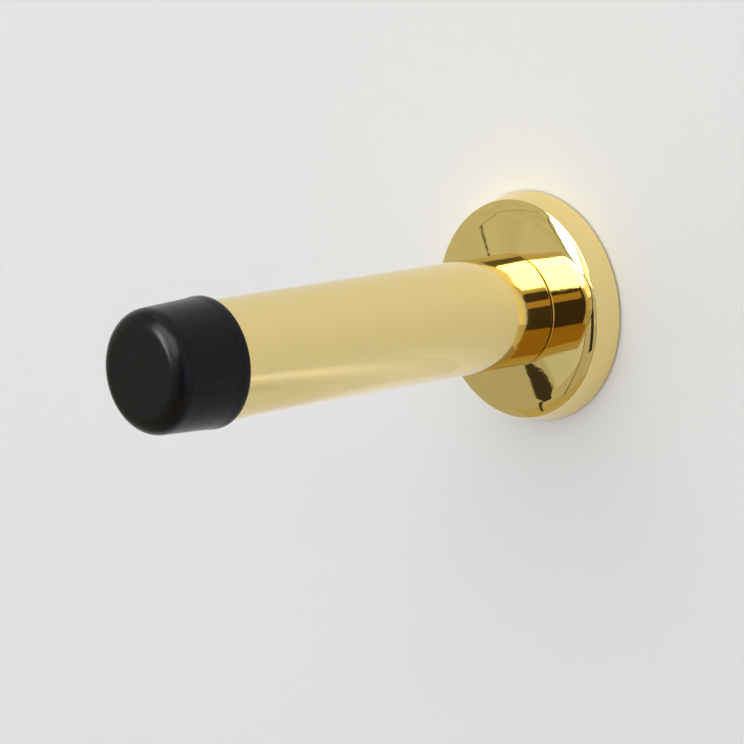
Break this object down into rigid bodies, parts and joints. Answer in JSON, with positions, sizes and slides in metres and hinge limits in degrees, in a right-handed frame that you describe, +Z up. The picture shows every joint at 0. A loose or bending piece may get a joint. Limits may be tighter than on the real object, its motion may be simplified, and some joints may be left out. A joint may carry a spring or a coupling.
{
  "type": "wall-mounted door stop",
  "caption": "Wall-mounted projection door stop: a polished brass tube on a round rose, with a black rubber buffer cap and a concealed screw fixing.",
  "frame": {"origin": "centre of the fixing plate's back on the wall plane, on the axis of the tube", "axes": "-Y along the tube from the wall towards the door, +Y into the wall, +Z up, X along the wall"},
  "size_m": [0.0392, 0.1196, 0.0392],
  "materials": {
    "polished_brass": "mirror-polished and lacquered",
    "turned_brass": "as turned, unpolished",
    "black_rubber": "moulded, satin",
    "plated_steel": "bright zinc plate over a turned face",
    "stud_steel": "bright steel, thread cut",
    "zinc_screw": "yellow zinc plate",
    "nylon": "moulded grey nylon"
  },
  "bodies": {
    "wall_fixing": {"fixing_plate": "plated_steel", "fixing_stud": "stud_steel", "wood_screw_left": "zinc_screw", "wood_screw_right": "zinc_screw", "wall_plug_left": "nylon", "wall_plug_right": "nylon"},
    "rose": {"rose_cover": "polished_brass"},
    "projection": {"projection_tube": "polished_brass", "threaded_insert": "turned_brass", "nose_spigot": "turned_brass"},
    "buffer": {"buffer_cap": "black_rubber"}
  },
  "joints": [
    {"name": "rose_lift", "type": "slide", "parent": "wall_fixing", "child": "rose", "axis": [0, -1, 0], "range_m": [0, 0.008]},
    {"name": "tube_unscrew", "type": "hinge", "parent": "rose", "child": "projection", "pos_m": [0, 0, 0], "axis": [0, -1, 0], "range_deg": [0, 2304]},
    {"name": "cap_pull", "type": "slide", "parent": "projection", "child": "buffer", "axis": [0, -1, 0], "range_m": [0, 0.0097]}
  ],
  "couplings": [
    {"joint": "tube_unscrew", "follows": "rose_lift", "rad_per_m": 5026.5}
  ]
}
